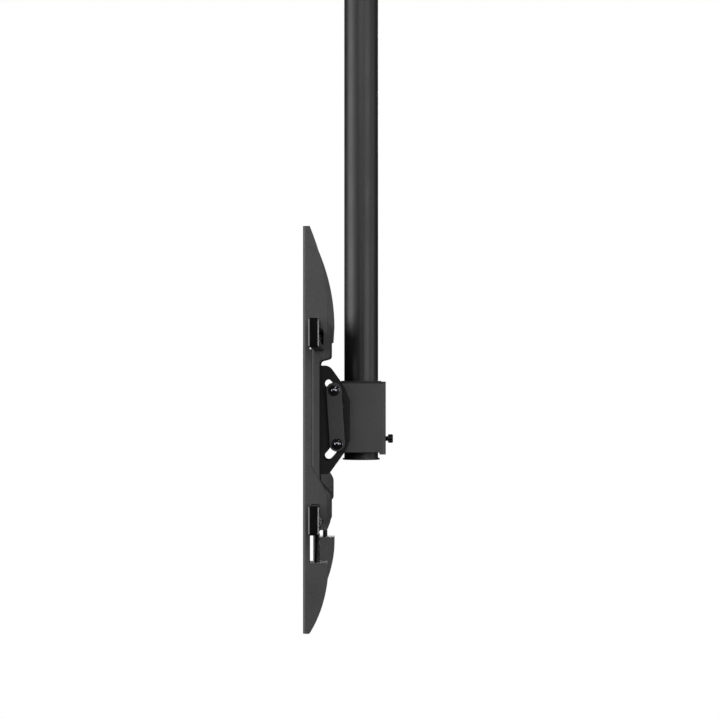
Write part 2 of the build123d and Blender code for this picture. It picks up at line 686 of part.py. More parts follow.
# Hooked upright: a bowed channel with a hook notch over each rail and a tab for the safety screw
with BuildPart() as arm_right:
    channel_depth = 2 * (arm_bow_y - arm_front)
    notch_upper_top = rail_upper_z + rail_h / 2 + arm_hang_clear
    notch_lower_top = rail_lower_z + rail_h / 2 + arm_lower_clear
    upper_notch_y = rail_front - arm_front_clear
    lower_notch_y = rail_front - arm_front_clear / 2
    nose_y = rail_front + rail_d + slide_gap
    with BuildSketch(Plane.XY.offset(arm_bottom)):
        with Locations((arm_x, arm_front + channel_depth / 2)):
            RectangleRounded(arm_w, channel_depth, arm_bend_r)
            RectangleRounded(
                arm_w - 2 * arm_sheet,
                channel_depth - 2 * arm_sheet,
                arm_bend_r - arm_sheet,
                mode=Mode.SUBTRACT,
            )
    extrude(amount=arm_top - arm_bottom)
    with BuildSketch(Plane.YZ) as arm_outline:
        with BuildLine():
            Line((arm_front, arm_top), (arm_end_y, arm_top))
            RadiusArc((arm_end_y, arm_top), (arm_bow_y, arm_bow_z), arm_bow_r)
            Polyline(
                (arm_bow_y, arm_bow_z),
                (arm_bow_y - arm_nose_lean, arm_nose_z + arm_nose_bevel),
                (arm_bow_y - arm_nose_lean - arm_nose_w, arm_nose_z),
                (nose_y, notch_upper_top),
                (upper_notch_y, notch_upper_top),
                (upper_notch_y, rail_upper_z - rail_h / 2 - arm_notch_over),
                (arm_waist_y, rail_upper_z - rail_h / 2 - arm_notch_over - arm_front_clear),
                (arm_waist_y, arm_curve_z),
                (arm_lobe_y, arm_lobe_z),
                (arm_lobe_y, arm_hook_z),
                (arm_lobe_y - arm_hook_lean, arm_hook_z - arm_hook_drop),
                (nose_y, arm_hook_z),
                (nose_y, notch_lower_top),
                (lower_notch_y, notch_lower_top),
                (lower_notch_y, tab_top),
                (arm_heel_y, tab_top),
                (arm_heel_y, arm_heel_z),
            )
            RadiusArc((arm_heel_y, arm_heel_z), (arm_tail_y, arm_tail_z), arm_tail_r)
            Polyline(
                (arm_tail_y, arm_tail_z),
                (arm_tail_y - arm_tail_bevel, arm_bottom),
                (arm_front, arm_bottom),
                (arm_front, arm_top),
            )
        make_face()
        curve_corners = arm_outline.vertices().filter_by_position(Axis.Y, arm_lobe_z, arm_curve_z)
        fillet(curve_corners, arm_curve_r)
    extrude(amount=2 * arm_x, mode=Mode.INTERSECT)
    with Locations((arm_x, lower_notch_y, tab_top)):
        Box(
            arm_w - arm_sheet,
            tab_rear - lower_notch_y,
            tab_t,
            align=(Align.CENTER, Align.MIN, Align.MAX),
        )
    with BuildSketch(Plane.XY.offset(tab_top)):
        with Locations((arm_x, safety_y)):
            Circle(m6_d / 2 + fixed_gap)
    extrude(amount=-2 * tab_t, mode=Mode.SUBTRACT)
    with BuildSketch(Plane.XZ.offset(-arm_front)):
        with Locations((arm_x, arm_mid_z)):
            with GridLocations(1, tv_hole_pitch, 1, 2):
                Circle(tv_hole_d / 2)
            with GridLocations(1, tv_slot_pitch, 1, tv_slot_count):
                SlotOverall(tv_slot_len, tv_hole_d, rotation=90)
    extrude(amount=-2 * arm_sheet, mode=Mode.SUBTRACT)
arm_right.part.label = "arm_right"

with BuildPart() as arm_left:
    mirror(arm_right.part, about=Plane.YZ)
arm_left.part.label = "arm_left"

# Safety screw up through the tab of each upright, its tip stops the upright from lifting off
with BuildPart() as safety_screw_right:
    with BuildSketch(Plane.XY.offset(safety_tip_z)):
        with Locations((arm_x, safety_y)):
            Circle(m6_d / 2)
    extrude(amount=-(safety_tip_z - tab_top + tab_t + safety_head_drop))
    with BuildSketch(Plane.XY.offset(tab_top - tab_t - safety_head_drop)):
        with Locations((arm_x, safety_y)):
            Circle(safety_head_d / 2)
    extrude(amount=-safety_head_h)
    chamfer(safety_screw_right.faces().sort_by(Axis.Z)[-1].edges(), end_bevel)
    chamfer(safety_screw_right.faces().sort_by(Axis.Z)[0].edges(), end_bevel)
    with BuildSketch(Plane.XY.offset(tab_top - tab_t - safety_head_drop - safety_head_h)):
        with Locations((arm_x, safety_y)):
            RegularPolygon(safety_socket / 2, 6, major_radius=False)
    extrude(amount=safety_head_h / 2, mode=Mode.SUBTRACT)
safety_screw_right.part.label = "safety_screw_right"

with BuildPart() as safety_screw_left:
    mirror(safety_screw_right.part, about=Plane.YZ)
safety_screw_left.part.label = "safety_screw_left"

# One STEP file for each piece
export_step(ceiling_plate.part, "parts/ceiling_plate.step")
export_step(pole.part, "parts/pole.step")
export_step(pole_bolt.part, "parts/pole_bolt.step")
export_step(pole_nut.part, "parts/pole_nut.step")
export_step(carrier_ring.part, "parts/carrier_ring.step")
export_step(ring_pin.part, "parts/ring_pin.step")
export_step(end_cap.part, "parts/end_cap.step")
export_step(swivel_box.part, "parts/swivel_box.step")
export_step(box_lid.part, "parts/box_lid.step")
export_step(box_floor.part, "parts/box_floor.step")
export_step(upper_bushing.part, "parts/upper_bushing.step")
export_step(lower_bushing.part, "parts/lower_bushing.step")
export_step(lock_nut.part, "parts/lock_nut.step")
export_step(lock_screw.part, "parts/lock_screw.step")
export_step(link_bar_right.part, "parts/link_bar_right.step")
export_step(link_bar_left.part, "parts/link_bar_left.step")
export_step(tilt_bolts.part, "parts/tilt_bolts.step")
export_step(tilt_nuts.part, "parts/tilt_nuts.step")
export_step(friction_washers.part, "parts/friction_washers.step")
export_step(tilt_bracket.part, "parts/tilt_bracket.step")
export_step(centre_frame.part, "parts/centre_frame.step")
export_step(frame_screws.part, "parts/frame_screws.step")
export_step(frame_nuts.part, "parts/frame_nuts.step")
export_step(upper_rail.part, "parts/upper_rail.step")
export_step(lower_rail.part, "parts/lower_rail.step")
export_step(rail_end_caps.part, "parts/rail_end_caps.step")
export_step(rail_screws.part, "parts/rail_screws.step")
export_step(rail_nuts.part, "parts/rail_nuts.step")
export_step(arm_right.part, "parts/arm_right.step")
export_step(arm_left.part, "parts/arm_left.step")
export_step(safety_screw_right.part, "parts/safety_screw_right.step")
export_step(safety_screw_left.part, "parts/safety_screw_left.step")
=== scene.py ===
# A ceiling mount for a television, seen from the side, in metres and in the frame of the CAD model.
import math

import bmesh
import bpy
from mathutils import Matrix, Vector


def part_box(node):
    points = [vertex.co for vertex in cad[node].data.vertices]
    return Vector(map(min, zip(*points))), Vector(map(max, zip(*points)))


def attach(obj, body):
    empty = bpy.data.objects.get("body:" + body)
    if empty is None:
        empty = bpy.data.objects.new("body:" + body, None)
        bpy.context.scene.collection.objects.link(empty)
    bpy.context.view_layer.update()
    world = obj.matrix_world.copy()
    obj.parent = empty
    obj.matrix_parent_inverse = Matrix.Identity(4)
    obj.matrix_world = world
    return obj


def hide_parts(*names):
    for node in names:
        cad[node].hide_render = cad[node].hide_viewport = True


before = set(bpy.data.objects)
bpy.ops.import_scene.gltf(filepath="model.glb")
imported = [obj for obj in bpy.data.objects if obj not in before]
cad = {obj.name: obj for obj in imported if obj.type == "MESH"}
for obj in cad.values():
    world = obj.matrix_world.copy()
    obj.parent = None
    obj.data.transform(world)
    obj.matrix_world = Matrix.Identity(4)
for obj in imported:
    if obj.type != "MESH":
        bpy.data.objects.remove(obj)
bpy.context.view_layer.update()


# Camera, floor and light
# A long lens stands on the line of the rails, level with the tilting frame. A pale floor sweeps up
# into a pale wall all round, and soft panels light the mount from the camera's side and from
# the left, right and back, so that every side of it can be seen.
camera_data = bpy.data.cameras.new("side_camera")
camera_data.lens = 109.2
camera_data.shift_x = -0.0146
camera_data.shift_y = 0.0474
camera_data.clip_end = 50.0
camera = bpy.data.objects.new("side_camera", camera_data)
camera.location = (2.438, 0.00984, -0.500)
camera.rotation_euler = (math.pi / 2, 0, math.pi / 2)
bpy.context.scene.collection.objects.link(camera)
bpy.context.scene.camera = camera
bpy.context.scene.view_settings.view_transform = "Standard"

# The sweep's radius at each height, from the edge of the floor up to the top of the wall
sweep_profile = [(3.6, -3.0), (4.6, -2.85), (5.4, -2.35), (5.9, -1.4), (6.0, 0.3), (6.0, 6.0)]
sweep_sides = 96
sweep_form = bmesh.new()
sweep_rings = []
for radius, height in sweep_profile:
    ring = []
    for step in range(sweep_sides):
        turn = 2 * math.pi * step / sweep_sides
        ring.append(sweep_form.verts.new((radius * math.cos(turn), radius * math.sin(turn), height)))
    sweep_rings.append(ring)
sweep_form.faces.new(sweep_rings[0])
for low, high in zip(sweep_rings, sweep_rings[1:]):
    for step in range(sweep_sides):
        after = (step + 1) % sweep_sides
        sweep_form.faces.new((low[after], low[step], high[step], high[after]))
sweep_mesh = bpy.data.meshes.new("studio_sweep")
sweep_form.to_mesh(sweep_mesh)
sweep_form.free()
sweep_mesh.shade_smooth()
sweep = bpy.data.objects.new("studio_sweep", sweep_mesh)
bpy.context.scene.collection.objects.link(sweep)
# The bright paper neither mirrors in the mount nor lights it, which is left to the panels
sweep.visible_glossy = False
sweep.visible_diffuse = False
sweep.visible_shadow = False


# Turns the sRGB hex code of a colour to linear light
def hex_colour(code):
    linear = []
    for place in (0, 2, 4):
        value = int(code[place : place + 2], 16) / 255
        linear.append(value / 12.92 if value <= 0.04045 else ((value + 0.055) / 1.055) ** 2.4)
    return (*linear, 1.0)


# Adds one node with its settings, its values and the links that come into it
def add_node(tree, kind, settings=None, values=None, links=None):
    node = tree.nodes.new(kind)
    for name, setting in (settings or {}).items():
        setattr(node, name, setting)
    for name, value in (values or {}).items():
        node.inputs[name].default_value = value
    for name, source in (links or {}).items():
        tree.links.new(source, node.inputs[name])
    return node


paper = bpy.data.materials.new("pale_studio_paper")
paper.use_nodes = True
paper.node_tree.nodes.clear()
paper_glow = add_node(paper.node_tree, "ShaderNodeEmission", values={"Color": hex_colour("ffffff")})
add_node(paper.node_tree, "ShaderNodeOutputMaterial", links={"Surface": paper_glow.outputs["Emission"]})
sweep_mesh.materials.append(paper)

air = bpy.data.worlds.new("studio_air")
bpy.context.scene.world = air
air.use_nodes = True
air.node_tree.nodes["Background"].inputs["Color"].default_value = hex_colour("ffffff")
air.node_tree.nodes["Background"].inputs["Strength"].default_value = 0.03

# Every panel faces the middle of the mount
mount_middle = Vector((0, 0, -0.45))


def soft_panel(name, place, width, height, power):
    data = bpy.data.lights.new(name, "AREA")
    data.shape = "RECTANGLE"
    data.size = width
    data.size_y = height
    data.energy = power
    panel = bpy.data.objects.new(name, data)
    panel.location = place
    panel.rotation_euler = (mount_middle - Vector(place)).to_track_quat("-Z", "Y").to_euler()
    bpy.context.scene.collection.objects.link(panel)


soft_panel("left_panel", (0.45, -2.6, -0.3), width=1.5, height=2.0, power=41)
soft_panel("front_left_panel", (1.45, -2.2, -0.35), width=1.3, height=1.7, power=20)
soft_panel("right_panel", (1.87, 1.8, -0.1), width=1.3, height=1.6, power=25)
soft_panel("camera_side_panel", (2.75, 0.0, 0.8), width=2.2, height=1.0, power=34)
soft_panel("right_strip", (0.22, 2.4, -0.4), width=0.16, height=1.5, power=9)
soft_panel("screen_side_panel", (-0.6, -1.8, 1.9), width=1.2, height=1.2, power=30)
soft_panel("back_panel", (-3.0, 0.3, 0.8), width=1.4, height=1.4, power=50)
soft_panel("rear_panel", (-0.7, 1.5, 2.1), width=1.2, height=1.2, power=20)


# Ceiling plate
# A slotted 5 mm steel plate with a collar welded to it. It is zinc primed, sprayed with black
# polyester powder and cured in an oven, which leaves a fine orange peel and a matt, slightly
# uneven sheen. The weld round the collar is a row of ripples under the powder.
def powder_coat(name, code, roughness, peel_mm, peel_depth_mm):
    material = bpy.data.materials.new(name)
    material.use_nodes = True
    tree = material.node_tree
    shader = tree.nodes["Principled BSDF"]
    place = add_node(tree, "ShaderNodeTexCoord").outputs["Object"]
    # The powder lies a little thicker and thinner in soft clouds
    cloud_mm = 45.0
    clouds = add_node(
        tree,
        "ShaderNodeTexNoise",
        values={"Scale": 1000.0 / cloud_mm, "Detail": 3.0, "Roughness": 0.55},
        links={"Vector": place},
    )
    # The orange peel: a noise cell is as wide as a bump and the dip beside it
    peel = add_node(
        tree,
        "ShaderNodeTexNoise",
        values={"Scale": 1000.0 / (2.0 * peel_mm), "Detail": 2.0, "Roughness": 0.6},
        links={"Vector": place},
    )
    tint = add_node(tree, "ShaderNodeValToRGB", links={"Fac": clouds.outputs["Fac"]})
    base = hex_colour(code)
    thin_tone, thick_tone = 0.86, 1.14
    tint.color_ramp.elements[0].position = 0.3
    tint.color_ramp.elements[0].color = tuple(channel * thin_tone for channel in base[:3]) + (1.0,)
    tint.color_ramp.elements[1].position = 0.7
    tint.color_ramp.elements[1].color = tuple(channel * thick_tone for channel in base[:3]) + (1.0,)
    dip_tone, bump_tone = 0.84, 1.16
    grain = add_node(
        tree,
        "ShaderNodeMapRange",
        values={"From Min": 0.3, "From Max": 0.7, "To Min": dip_tone, "To Max": bump_tone},
        links={"Value": peel.outputs["Fac"]},
    )
    toned = add_node(
        tree,
        "ShaderNodeVectorMath",
        {"operation": "SCALE"},
        links={0: tint.outputs["Color"], "Scale": grain.outputs["Result"]},
    )
    sheen = add_node(
        tree,
        "ShaderNodeMapRange",
        values={"From Min": 0.25, "From Max": 0.75, "To Min": roughness - 0.05, "To Max": roughness + 0.06},
        links={"Value": clouds.outputs["Fac"]},
    )
    bumps = add_node(
        tree,
        "ShaderNodeBump",
        values={"Strength": 0.4, "Distance": peel_depth_mm / 1000},
        links={"Height": peel.outputs["Fac"]},
    )
    tree.links.new(toned.outputs["Vector"], shader.inputs["Base Color"])
    tree.links.new(sheen.outputs["Result"], shader.inputs["Roughness"])
    tree.links.new(bumps.outputs["Normal"], shader.inputs["Normal"])
    shader.inputs["IOR"].default_value = 1.5
    return material


# Smooth shading by angle, so that rounds shine evenly and folded edges stay crisp
round_up_to = math.radians(32)
smooth_rounds = bpy.data.node_groups.new("smooth_rounds", "GeometryNodeTree")
smooth_rounds.interface.new_socket("Geometry", in_out="INPUT", socket_type="NodeSocketGeometry")
smooth_rounds.interface.new_socket("Geometry", in_out="OUTPUT", socket_type="NodeSocketGeometry")
rounds_entry = add_node(smooth_rounds, "NodeGroupInput")
rounds_angle = add_node(smooth_rounds, "GeometryNodeInputMeshEdgeAngle")
rounds_soft = add_node(
    smooth_rounds,
    "FunctionNodeCompare",
    {"operation": "LESS_EQUAL"},
    {"B": round_up_to},
    {"A": rounds_angle.outputs["Unsigned Angle"]},
)
rounds_faces = add_node(
    smooth_rounds,
    "GeometryNodeSetShadeSmooth",
    {"domain": "FACE"},
    links={"Geometry": rounds_entry.outputs[0]},
)
rounds_edges = add_node(
    smooth_rounds,
    "GeometryNodeSetShadeSmooth",
    {"domain": "EDGE"},
    links={"Geometry": rounds_faces.outputs[0], "Shade Smooth": rounds_soft.outputs[0]},
)
add_node(smooth_rounds, "NodeGroupOutput", links={0: rounds_edges.outputs[0]})


# Coats a solid and breaks its sharp edges by edge_mm, or leaves them as punched where that is 0
def finish_node(name, material, edge_mm):
    piece = cad[name]
    piece.data.materials.clear()
    piece.data.materials.append(material)
    corners = piece.modifiers.new("merge_corners", "WELD")
    corners.merge_threshold = 0.000002
    if edge_mm > 0:
        edge = piece.modifiers.new("edge_break", "BEVEL")
        edge.width = edge_mm / 1000
        edge.segments = 2
        edge.limit_method = "ANGLE"
        edge.angle_limit = math.radians(35)
    shading = piece.modifiers.new("smooth_rounds", "NODES")
    shading.node_group = smooth_rounds
    if edge_mm > 0:
        level = piece.modifiers.new("flat_faces_stay_flat", "WEIGHTED_NORMAL")
        level.keep_sharp = True
        level.weight = 80


plate_coat = powder_coat("plate_powder_coat_matt", "444445", roughness=0.55, peel_mm=0.8, peel_depth_mm=0.06)
finish_node("ceiling_plate", plate_coat, edge_mm=0.4)


# Passes a mesh through a tree, keeps what comes out as a plain mesh and puts it in its place
def made_by_nodes(name, start_mesh, tree, values, place):
    holder = bpy.data.objects.new(name + "_holder", start_mesh)
    modifier = holder.modifiers.new(name, "NODES")
    modifier.node_group = tree
    for socket in tree.interface.items_tree:
        if socket.item_type == "SOCKET" and socket.in_out == "INPUT" and socket.name in values:
            modifier[socket.identifier] = values[socket.name]
    bpy.context.scene.collection.objects.link(holder)
    seen = holder.evaluated_get(bpy.context.evaluated_depsgraph_get())
    mesh = bpy.data.meshes.new_from_object(seen)
    holder.modifiers.clear()
    bpy.data.objects.remove(holder)
    mesh.transform(place)
    mesh.name = name
    piece = bpy.data.objects.new(name, mesh)
    bpy.context.scene.collection.objects.link(piece)
    return piece


# Weld ripples set side by side along a path of edges
weld_tree = bpy.data.node_groups.new("weld_ripples", "GeometryNodeTree")
weld_tree.interface.new_socket("Geometry", in_out="INPUT", socket_type="NodeSocketGeometry")
weld_tree.interface.new_socket("Ripple Spacing", in_out="INPUT", socket_type="NodeSocketFloat")
weld_tree.interface.new_socket("Ripple Size", in_out="INPUT", socket_type="NodeSocketVector")
weld_tree.interface.new_socket("Unevenness", in_out="INPUT", socket_type="NodeSocketFloat")
weld_tree.interface.new_socket("Coat", in_out="INPUT", socket_type="NodeSocketMaterial")
weld_tree.interface.new_socket("Geometry", in_out="OUTPUT", socket_type="NodeSocketGeometry")
weld_in = add_node(weld_tree, "NodeGroupInput")
weld_seam = add_node(weld_tree, "GeometryNodeMeshToCurve", links={"Mesh": weld_in.outputs["Geometry"]})
weld_points = add_node(
    weld_tree,
    "GeometryNodeCurveToPoints",
    {"mode": "LENGTH"},
    links={"Curve": weld_seam.outputs["Curve"], "Length": weld_in.outputs["Ripple Spacing"]},
)
weld_drop = add_node(
    weld_tree,
    "GeometryNodeMeshUVSphere",
    values={"Segments": 14, "Rings": 8, "Radius": 0.5},
)
weld_least = add_node(
    weld_tree,
    "ShaderNodeMath",
    {"operation": "SUBTRACT"},
    {0: 1.0},
    {1: weld_in.outputs["Unevenness"]},
)
weld_most = add_node(
    weld_tree,
    "ShaderNodeMath",
    {"operation": "ADD"},
    {0: 1.0},
    {1: weld_in.outputs["Unevenness"]},
)
weld_chance = add_node(
    weld_tree,
    "FunctionNodeRandomValue",
    {"data_type": "FLOAT"},
    {"Seed": 7},
    {2: weld_least.outputs[0], 3: weld_most.outputs[0]},
)
weld_scale = add_node(
    weld_tree,
    "ShaderNodeVectorMath",
    {"operation": "SCALE"},
    links={0: weld_in.outputs["Ripple Size"], "Scale": weld_chance.outputs[1]},
)
weld_row = add_node(
    weld_tree,
    "GeometryNodeInstanceOnPoints",
    links={
        "Points": weld_points.outputs["Points"],
        "Instance": weld_drop.outputs["Mesh"],
        "Rotation": weld_points.outputs["Rotation"],
        "Scale": weld_scale.outputs["Vector"],
    },
)
weld_real = add_node(
    weld_tree,
    "GeometryNodeRealizeInstances",
    links={"Geometry": weld_row.outputs["Instances"]},
)
weld_smooth = add_node(
    weld_tree,
    "GeometryNodeSetShadeSmooth",
    links={"Geometry": weld_real.outputs["Geometry"]},
)
weld_coat = add_node(
    weld_tree,
    "GeometryNodeSetMaterial",
    links={"Geometry": weld_smooth.outputs["Geometry"], "Material": weld_in.outputs["Coat"]},
)
add_node(weld_tree, "NodeGroupOutput", links={0: weld_coat.outputs["Geometry"]})


# A seam is a row of points, and whether its last point joins its first
def weld_bead(name, seams, spacing, size, coat, body):
    points = []
    edges = []
    for seam, closed in seams:
        first = len(points)
        points += seam
        edges += [(first + step, first + step + 1) for step in range(len(seam) - 1)]
        if closed:
            edges.append((len(points) - 1, first))
    path = bpy.data.meshes.new(name + "_path")
    path.from_pydata(points, edges, [])
    values = {"Ripple Spacing": spacing, "Ripple Size": size, "Unevenness": 0.08, "Coat": coat}
    bead = made_by_nodes(name, path, weld_tree, values, Matrix())
    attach(bead, body)


# This bead fills the corner between the plate's underside and the collar
bead_r = 0.0240
bead_z = -0.0061
bead_steps = 64
collar_seam = []
for bead_step in range(bead_steps):
    bead_turn = 2 * math.pi * bead_step / bead_steps
    collar_seam.append((bead_r * math.cos(bead_turn), bead_r * math.sin(bead_turn), bead_z))
weld_bead(
    "collar_weld",
    [(collar_seam, True)],
    spacing=0.0020,
    size=(0.0034, 0.0034, 0.0036),
    coat=plate_coat,
    body="ceiling",
)


# Pole
# A welded steel tube, 38 mm across. Its powder coat is smoother and glossier than that of the
# folded pieces, so a long soft highlight runs down it.
pole_coat = powder_coat("pole_powder_coat_satin", "161617", roughness=0.45, peel_mm=0.6, peel_depth_mm=0.03)
finish_node("pole", pole_coat, edge_mm=0.3)


# Cross bolt of the collar
# An M8 bolt with a nut, blacked by hot oxide and oiled. The oil leaves a dark satin shine with
# small cloudy stains. The thread is rolled, 1.25 mm from turn to turn.
def black_oxide_steel(name, code, roughness, stain_mm):
    material = bpy.data.materials.new(name)
    material.use_nodes = True
    tree = material.node_tree
    shader = tree.nodes["Principled BSDF"]
    place = add_node(tree, "ShaderNodeTexCoord").outputs["Object"]
    stains = add_node(
        tree,
        "ShaderNodeTexNoise",
        values={"Scale": 1000.0 / stain_mm, "Detail": 3.0, "Roughness": 0.6},
        links={"Vector": place},
    )
    tint = add_node(tree, "ShaderNodeValToRGB", links={"Fac": stains.outputs["Fac"]})
    base = hex_colour(code)
    stain_tone, clean_tone = 0.7, 1.3
    tint.color_ramp.elements[0].position = 0.3
    tint.color_ramp.elements[0].color = tuple(channel * stain_tone for channel in base[:3]) + (1.0,)
    tint.color_ramp.elements[1].position = 0.72
    tint.color_ramp.elements[1].color = tuple(channel * clean_tone for channel in base[:3]) + (1.0,)
    gloss = add_node(
        tree,
        "ShaderNodeMapRange",
        values={"From Min": 0.3, "From Max": 0.7, "To Min": roughness - 0.06, "To Max": roughness + 0.08},
        links={"Value": stains.outputs["Fac"]},
    )
    relief = add_node(
        tree,
        "ShaderNodeBump",
        values={"Strength": 0.25, "Distance": 0.00002},
        links={"Height": stains.outputs["Fac"]},
    )
    tree.links.new(tint.outputs["Color"], shader.inputs["Base Color"])
    tree.links.new(gloss.outputs["Result"], shader.inputs["Roughness"])
    tree.links.new(relief.outputs["Normal"], shader.inputs["Normal"])
    shader.inputs["Metallic"].default_value = 1.0
    return material


bolt_black = black_oxide_steel("black_oxide_bolt_steel", "3c3c3e", roughness=0.34, stain_mm=4.0)


# A profile gives the radius and height of each ring in millimetres, and whether it is round or a
# hexagon across its flats
def turned_blank(name, profile):
    sides = 48
    form = bmesh.new()
    rings = []
    for radius_mm, height_mm, shape in profile:
        radius = radius_mm / 1000
        height = height_mm / 1000
        ring = []
        for step in range(sides):
            turn = 2 * math.pi * step / sides
            reach = radius
            if shape == "hexagon":
                reach = radius / math.cos(turn % (math.pi / 3) - math.pi / 6)
            ring.append(form.verts.new((reach * math.cos(turn), reach * math.sin(turn), height)))
        rings.append(ring)
    for low, high in zip(rings, rings[1:]):
        for step in range(sides):
            after = (step + 1) % sides
            form.faces.new((low[step], low[after], high[after], high[step]))
    form.faces.new(reversed(rings[0]))
    form.faces.new(rings[-1])
    bmesh.ops.recalc_face_normals(form, faces=form.faces)
    mesh = bpy.data.meshes.new(name)
    form.to_mesh(mesh)
    form.free()
    return mesh


# A rolled thread on a shank along Z, and knurls round a head
screw_tree = bpy.data.node_groups.new("thread_and_knurls", "GeometryNodeTree")
screw_tree.interface.new_socket("Geometry", in_out="INPUT", socket_type="NodeSocketGeometry")
for screw_length in ("Thread Radius", "Thread Depth", "Pitch", "Turns", "Thread Start", "Head Radius"):
    screw_tree.interface.new_socket(screw_length, in_out="INPUT", socket_type="NodeSocketFloat")
screw_tree.interface.new_socket("Knurls", in_out="INPUT", socket_type="NodeSocketInt")
for screw_length in ("Knurl Width", "Knurl Height", "Knurl Middle"):
    screw_tree.interface.new_socket(screw_length, in_out="INPUT", socket_type="NodeSocketFloat")
screw_tree.interface.new_socket("Steel", in_out="INPUT", socket_type="NodeSocketMaterial")
screw_tree.interface.new_socket("Geometry", in_out="OUTPUT", socket_type="NodeSocketGeometry")
screw_in = add_node(screw_tree, "NodeGroupInput")
thread_core = add_node(
    screw_tree,
    "ShaderNodeMath",
    {"operation": "SUBTRACT"},
    links={0: screw_in.outputs["Thread Radius"], 1: screw_in.outputs["Thread Depth"]},
)
thread_rise = add_node(
    screw_tree,
    "ShaderNodeMath",
    {"operation": "MULTIPLY"},
    links={0: screw_in.outputs["Pitch"], 1: screw_in.outputs["Turns"]},
)
thread_line = add_node(
    screw_tree,
    "GeometryNodeCurveSpiral",
    values={"Resolution": 28},
    links={
        "Rotations": screw_in.outputs["Turns"],
        "Start Radius": thread_core.outputs[0],
        "End Radius": thread_core.outputs[0],
        "Height": thread_rise.outputs[0],
    },
)
thread_upright = add_node(
    screw_tree,
    "GeometryNodeSetCurveNormal",
    {"mode": "Z_UP"},
    links={"Curve": thread_line.outputs["Curve"]},
)
thread_tooth = add_node(
    screw_tree,
    "GeometryNodeCurvePrimitiveCircle",
    {"mode": "RADIUS"},
    {"Resolution": 4},
    {"Radius": screw_in.outputs["Thread Depth"]},
)
thread_ridge = add_node(
    screw_tree,
    "GeometryNodeCurveToMesh",
    values={"Fill Caps": True},
    links={"Curve": thread_upright.outputs["Curve"], "Profile Curve": thread_tooth.outputs["Curve"]},
)
thread_offset = add_node(
    screw_tree,
    "ShaderNodeCombineXYZ",
    links={"Z": screw_in.outputs["Thread Start"]},
)
thread_place = add_node(
    screw_tree,
    "GeometryNodeTransform",
    links={"Geometry": thread_ridge.outputs["Mesh"], "Translation": thread_offset.outputs["Vector"]},
)
knurl_circle = add_node(
    screw_tree,
    "GeometryNodeCurvePrimitiveCircle",
    {"mode": "RADIUS"},
    links={"Resolution": screw_in.outputs["Knurls"], "Radius": screw_in.outputs["Head Radius"]},
)
knurl_points = add_node(
    screw_tree,
    "GeometryNodeCurveToPoints",
    {"mode": "EVALUATED"},
    links={"Curve": knurl_circle.outputs["Curve"]},
)
knurl_size = add_node(
    screw_tree,
    "ShaderNodeCombineXYZ",
    links={
        "X": screw_in.outputs["Knurl Width"],
        "Y": screw_in.outputs["Knurl Width"],
        "Z": screw_in.outputs["Knurl Height"],
    },
)
knurl_bar = add_node(screw_tree, "GeometryNodeMeshCube", links={"Size": knurl_size.outputs["Vector"]})
knurl_place = add_node(screw_tree, "GeometryNodeInputPosition")
knurl_parts = add_node(
    screw_tree,
    "ShaderNodeSeparateXYZ",
    links={"Vector": knurl_place.outputs["Position"]},
)
knurl_angle = add_node(
    screw_tree,
    "ShaderNodeMath",
    {"operation": "ARCTAN2"},
    links={0: knurl_parts.outputs["Y"], 1: knurl_parts.outputs["X"]},
)
knurl_edge_out = add_node(
    screw_tree,
    "ShaderNodeMath",
    {"operation": "ADD"},
    {1: math.pi / 4},
    {0: knurl_angle.outputs[0]},
)
knurl_turn = add_node(screw_tree, "ShaderNodeCombineXYZ", links={"Z": knurl_edge_out.outputs[0]})
knurl_rotation = add_node(
    screw_tree,
    "FunctionNodeEulerToRotation",
    links={"Euler": knurl_turn.outputs["Vector"]},
)
knurl_row = add_node(
    screw_tree,
    "GeometryNodeInstanceOnPoints",
    links={
        "Points": knurl_points.outputs["Points"],
        "Instance": knurl_bar.outputs["Mesh"],
        "Rotation": knurl_rotation.outputs["Rotation"],
    },
)
knurl_offset = add_node(
    screw_tree,
    "ShaderNodeCombineXYZ",
    links={"Z": screw_in.outputs["Knurl Middle"]},
)
knurl_set = add_node(
    screw_tree,
    "GeometryNodeTransform",
    links={"Geometry": knurl_row.outputs["Instances"], "Translation": knurl_offset.outputs["Vector"]},
)
# With a count of 0 the head stays plain
knurl_choice = add_node(
    screw_tree,
    "GeometryNodeSwitch",
    {"input_type": "GEOMETRY"},
    links={"Switch": screw_in.outputs["Knurls"], "True": knurl_set.outputs["Geometry"]},
)
screw_whole = add_node(
    screw_tree,
    "GeometryNodeJoinGeometry",
    links={"Geometry": screw_in.outputs["Geometry"]},
)
screw_tree.links.new(thread_place.outputs["Geometry"], screw_whole.inputs["Geometry"])
screw_tree.links.new(knurl_choice.outputs["Output"], screw_whole.inputs["Geometry"])
screw_real = add_node(
    screw_tree,
    "GeometryNodeRealizeInstances",
    links={"Geometry": screw_whole.outputs["Geometry"]},
)
screw_steel = add_node(
    screw_tree,
    "GeometryNodeSetMaterial",
    links={"Geometry": screw_real.outputs["Geometry"], "Material": screw_in.outputs["Steel"]},
)
add_node(screw_tree, "NodeGroupOutput", links={0: screw_steel.outputs["Geometry"]})


# The profile and the lengths of a screw are in millimetres, along its own axis
def threaded_screw(name, node, body, profile, values, place, steel):
    counts = ("Turns", "Knurls")
    inputs = {key: value if key in counts else value / 1000 for key, value in values.items()}
    inputs["Steel"] = steel
    screw = made_by_nodes(name, turned_blank(name + "_blank", profile), screw_tree, inputs, place)
    edge = screw.modifiers.new("edge_break", "BEVEL")
    edge.width = 0.00008
    edge.segments = 1
    edge.limit_method = "ANGLE"
    edge.angle_limit = math.radians(50)
    shading = screw.modifiers.new("smooth_rounds", "NODES")
    shading.node_group = smooth_rounds
    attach(screw, body)
    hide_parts(node)


